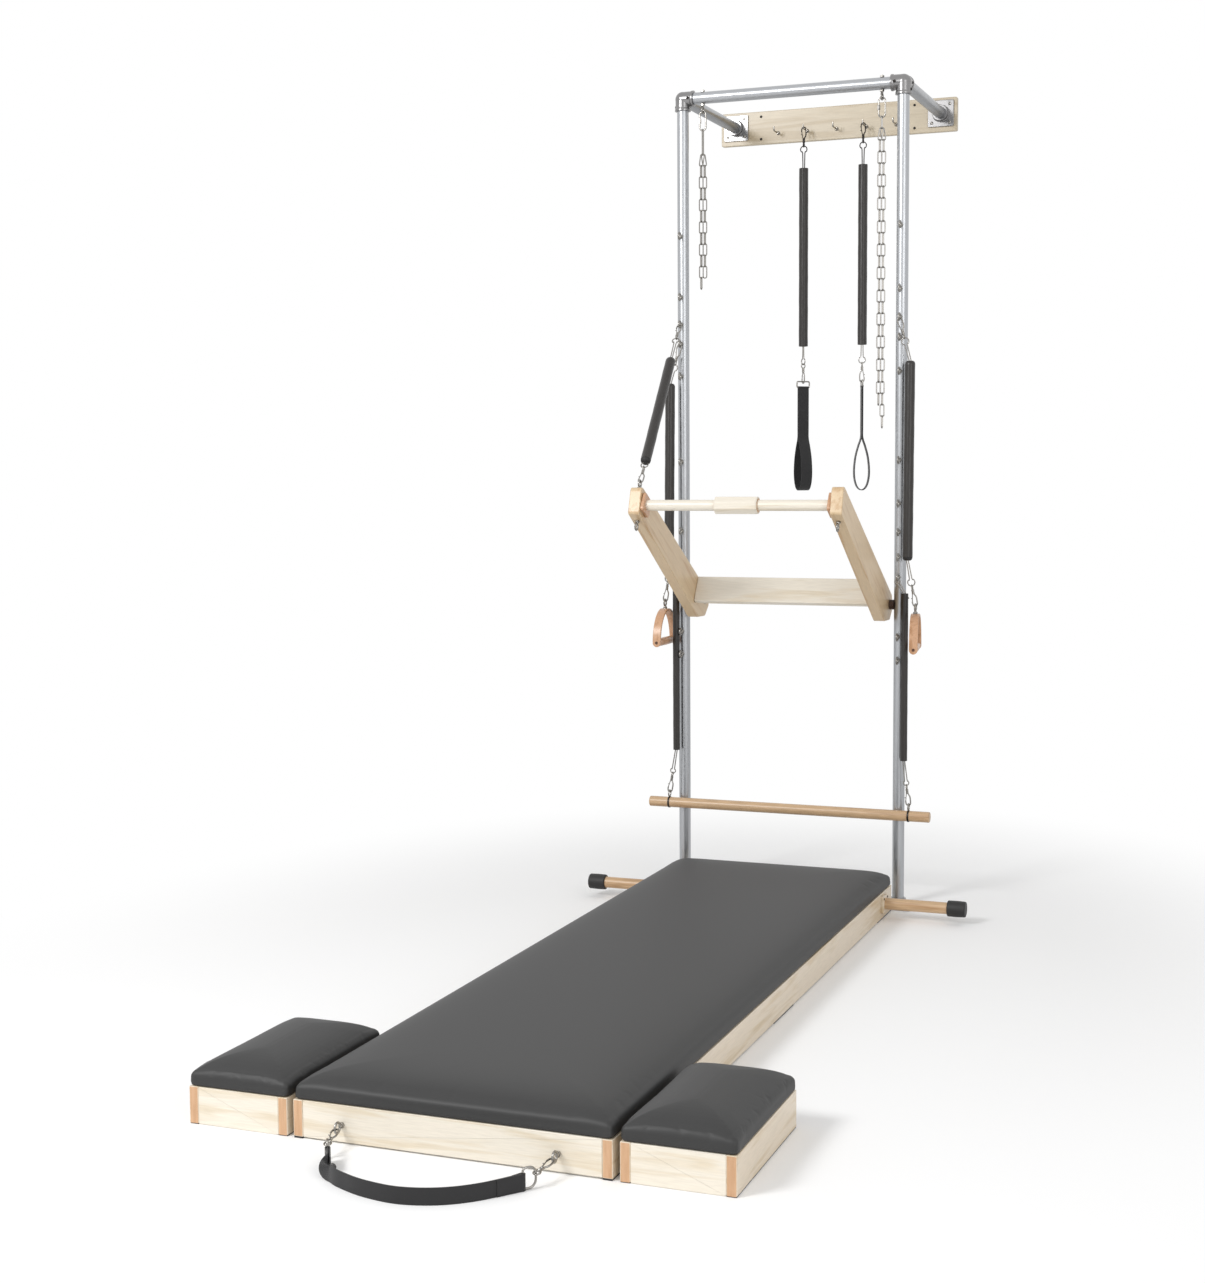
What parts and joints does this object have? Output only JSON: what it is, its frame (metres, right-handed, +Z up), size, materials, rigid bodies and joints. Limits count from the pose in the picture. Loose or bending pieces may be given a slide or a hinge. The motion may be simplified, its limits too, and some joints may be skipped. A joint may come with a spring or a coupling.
{
  "type": "pilates wall unit",
  "caption": "Tubular wall tower over a padded floor mat with side boxes, sprung handles, a roll-down bar, a push-through bar, strap loops and chains.",
  "frame": {"origin": "the middle of the whole footprint on the floor, which lies on the unit's middle plane", "axes": "+X to the user's right as seen from the mat's front, +Y from the mat's front towards the wall, +Z up"},
  "size_m": [1.105, 3.0288, 2.3415],
  "materials": {
    "galvanised_tube": "galvanised steel tube, brushed",
    "nickel_plate": "nickel plated steel",
    "maple": "clear satin lacquer on maple",
    "beech": "clear lacquer on bent beech",
    "oak": "clear lacquer on turned oak",
    "black_vinyl": "black upholstery vinyl",
    "black_sleeve": "black woven sleeve over the coil",
    "black_webbing": "black woven webbing"
  },
  "bodies": {
    "tower": {"wall_board": "maple", "cross_tube": "galvanised_tube", "left_depth_tube": "galvanised_tube", "right_depth_tube": "galvanised_tube", "left_pole": "galvanised_tube", "right_pole": "galvanised_tube", "left_corner_fitting": "galvanised_tube", "right_corner_fitting": "galvanised_tube", "left_wall_flange": "galvanised_tube", "right_wall_flange": "galvanised_tube", "left_pole_foot": "galvanised_tube", "right_pole_foot": "galvanised_tube", "left_pivot_bolt": "nickel_plate", "right_pivot_bolt": "nickel_plate", "mat_left_rail": "maple", "mat_right_rail": "maple", "mat_front_board": "maple", "mat_rear_board": "maple", "mat_deck": "maple", "mat_cushion": "black_vinyl", "head_rod": "oak"},
    "left_box": {"left_box_frame": "maple", "left_box_cushion": "black_vinyl"},
    "right_box": {"right_box_frame": "maple", "right_box_cushion": "black_vinyl"},
    "push_bar": {"push_left_arm": "maple", "push_right_arm": "maple", "push_shelf": "maple", "push_rod": "maple"},
    "push_spring": {"push_spring_sleeve": "black_sleeve", "push_spring_top_snap": "nickel_plate"},
    "push_spring_tail": {"push_spring_coil": "nickel_plate"},
    "left_handle_spring": {"left_handle_spring_sleeve": "black_sleeve", "left_handle_spring_top_snap": "nickel_plate"},
    "left_handle_spring_tail": {"left_handle_spring_coil": "nickel_plate"},
    "left_handle": {"left_handle_bow": "beech", "left_handle_grip": "beech"},
    "right_handle_spring": {"right_handle_spring_sleeve": "black_sleeve", "right_handle_spring_top_snap": "nickel_plate"},
    "right_handle_spring_tail": {"right_handle_spring_coil": "nickel_plate"},
    "right_handle": {"right_handle_bow": "beech", "right_handle_grip": "beech"},
    "roll_springs": {"left_roll_spring_sleeve": "black_sleeve", "right_roll_spring_sleeve": "black_sleeve"},
    "roll_springs_tail": {"left_roll_spring_coil": "nickel_plate", "right_roll_spring_coil": "nickel_plate"},
    "roll_bar": {"roll_bar": "oak"},
    "left_hanging_spring": {"left_hanging_spring_sleeve": "black_sleeve", "left_hanging_spring_top_snap": "nickel_plate"},
    "left_hanging_spring_tail": {"left_hanging_spring_coil": "nickel_plate"},
    "left_strap": {"left_strap_loop": "black_webbing"},
    "right_hanging_spring": {"right_hanging_spring_sleeve": "black_sleeve", "right_hanging_spring_top_snap": "nickel_plate"},
    "right_hanging_spring_tail": {"right_hanging_spring_coil": "nickel_plate"},
    "right_strap": {"right_strap_loop": "black_webbing"},
    "left_chain": {"left_chain": "nickel_plate"},
    "right_chain": {"right_chain": "nickel_plate"},
    "foot_strap": {"foot_strap_band": "black_webbing", "left_foot_strap_hook": "nickel_plate", "right_foot_strap_hook": "nickel_plate"}
  },
  "joints": [
    {"name": "push_bar_hinge", "type": "hinge", "parent": "tower", "child": "push_bar", "pos_m": [0, 0.98036, 0.856], "axis": [1, 0, 0], "range_deg": [0, 40], "stiffness_Nm_per_rad": 30, "springref_deg": -34.38},
    {"name": "push_spring_hinge", "type": "hinge", "parent": "tower", "child": "push_spring", "pos_m": [-0.3197, 0.94329, 1.65201], "axis": [0.9906, 0.1322, -0.0349], "range_deg": [0, 12.13]},
    {"name": "push_spring_stretch", "type": "slide", "parent": "push_spring", "child": "push_spring_tail", "axis": [0.0707, -0.7142, -0.6964], "range_m": [0, 0.3785]},
    {"name": "left_handle_spring_hinge", "type": "hinge", "parent": "tower", "child": "left_handle_spring", "pos_m": [-0.32, 0.94636, 1.596], "axis": [-1, 0, 0], "range_deg": [0, 30]},
    {"name": "left_handle_spring_stretch", "type": "slide", "parent": "left_handle_spring", "child": "left_handle_spring_tail", "axis": [0, -0.03, -0.9996], "range_m": [0, 0.35], "stiffness_N_per_m": 180, "springref_m": -0.12},
    {"name": "left_handle_hinge", "type": "hinge", "parent": "left_handle_spring_tail", "child": "left_handle", "pos_m": [-0.361, 0.92686, 0.8573], "axis": [1, 0, 0], "range_deg": [-60, 60]},
    {"name": "right_handle_spring_hinge", "type": "hinge", "parent": "tower", "child": "right_handle_spring", "pos_m": [0.32, 0.94636, 1.651], "axis": [-1, 0, 0], "range_deg": [0, 85]},
    {"name": "right_handle_spring_stretch", "type": "slide", "parent": "right_handle_spring", "child": "right_handle_spring_tail", "axis": [0, -0.0296, -0.9996], "range_m": [0, 0.35], "stiffness_N_per_m": 180, "springref_m": -0.12},
    {"name": "right_handle_hinge", "type": "hinge", "parent": "right_handle_spring_tail", "child": "right_handle", "pos_m": [0.3755, 0.92686, 0.8573], "axis": [1, 0, 0], "range_deg": [-60, 60]},
    {"name": "roll_springs_hinge", "type": "hinge", "parent": "tower", "child": "roll_springs", "pos_m": [0, 0.94636, 0.9304], "axis": [-1, 0, 0], "range_deg": [0, 60]},
    {"name": "roll_springs_stretch", "type": "slide", "parent": "roll_springs", "child": "roll_springs_tail", "axis": [0, 0, -1], "range_m": [0, 0.2], "stiffness_N_per_m": 350, "springref_m": -0.08},
    {"name": "roll_bar_hinge", "type": "hinge", "parent": "roll_springs_tail", "child": "roll_bar", "pos_m": [0, 0.94636, 0.2929], "axis": [1, 0, 0], "range_deg": [-45, 0]},
    {"name": "left_hanging_spring_hinge", "type": "hinge", "parent": "tower", "child": "left_hanging_spring", "pos_m": [-0.0925, 1.45526, 2.2769], "axis": [-1, 0, 0], "range_deg": [0, 70]},
    {"name": "left_hanging_spring_stretch", "type": "slide", "parent": "left_hanging_spring", "child": "left_hanging_spring_tail", "axis": [0, 0, -1], "range_m": [0, 0.5], "stiffness_N_per_m": 180, "springref_m": -0.12},
    {"name": "left_strap_hinge", "type": "hinge", "parent": "left_hanging_spring_tail", "child": "left_strap", "pos_m": [-0.0925, 1.45526, 1.5014], "axis": [0.7314, -0.682, 0], "range_deg": [-30, 30]},
    {"name": "right_hanging_spring_hinge", "type": "hinge", "parent": "tower", "child": "right_hanging_spring", "pos_m": [0.0925, 1.45526, 2.2769], "axis": [-1, 0, 0], "range_deg": [0, 70]},
    {"name": "right_hanging_spring_stretch", "type": "slide", "parent": "right_hanging_spring", "child": "right_hanging_spring_tail", "axis": [0, 0, -1], "range_m": [0, 0.5], "stiffness_N_per_m": 180, "springref_m": -0.12},
    {"name": "right_strap_hinge", "type": "hinge", "parent": "right_hanging_spring_tail", "child": "right_strap", "pos_m": [0.0925, 1.45526, 1.5014], "axis": [-0.9397, -0.342, 0], "range_deg": [-30, 30]},
    {"name": "left_chain_hinge", "type": "hinge", "parent": "tower", "child": "left_chain", "pos_m": [-0.26, 0.98036, 2.2566], "axis": [-1, 0, 0], "range_deg": [-30, 45]},
    {"name": "right_chain_hinge", "type": "hinge", "parent": "tower", "child": "right_chain", "pos_m": [0.26, 0.98036, 2.2566], "axis": [-1, 0, 0], "range_deg": [-30, 45]},
    {"name": "foot_strap_hinge", "type": "hinge", "parent": "tower", "child": "foot_strap", "pos_m": [0, -1.3096, 0.03487], "axis": [-1, 0, 0], "range_deg": [0, 60]},
    {"name": "left_box_slide", "type": "slide", "parent": "tower", "child": "left_box", "axis": [-1, 0, 0], "range_m": [0, 0.25]},
    {"name": "right_box_slide", "type": "slide", "parent": "tower", "child": "right_box", "axis": [1, 0, 0], "range_m": [0, 0.25]}
  ],
  "couplings": [
    {"joint": "push_spring_hinge", "follows": "push_bar_hinge", "ratio": 0.30282},
    {"joint": "push_spring_stretch", "follows": "push_bar_hinge", "m_per_rad": 0.54136}
  ]
}
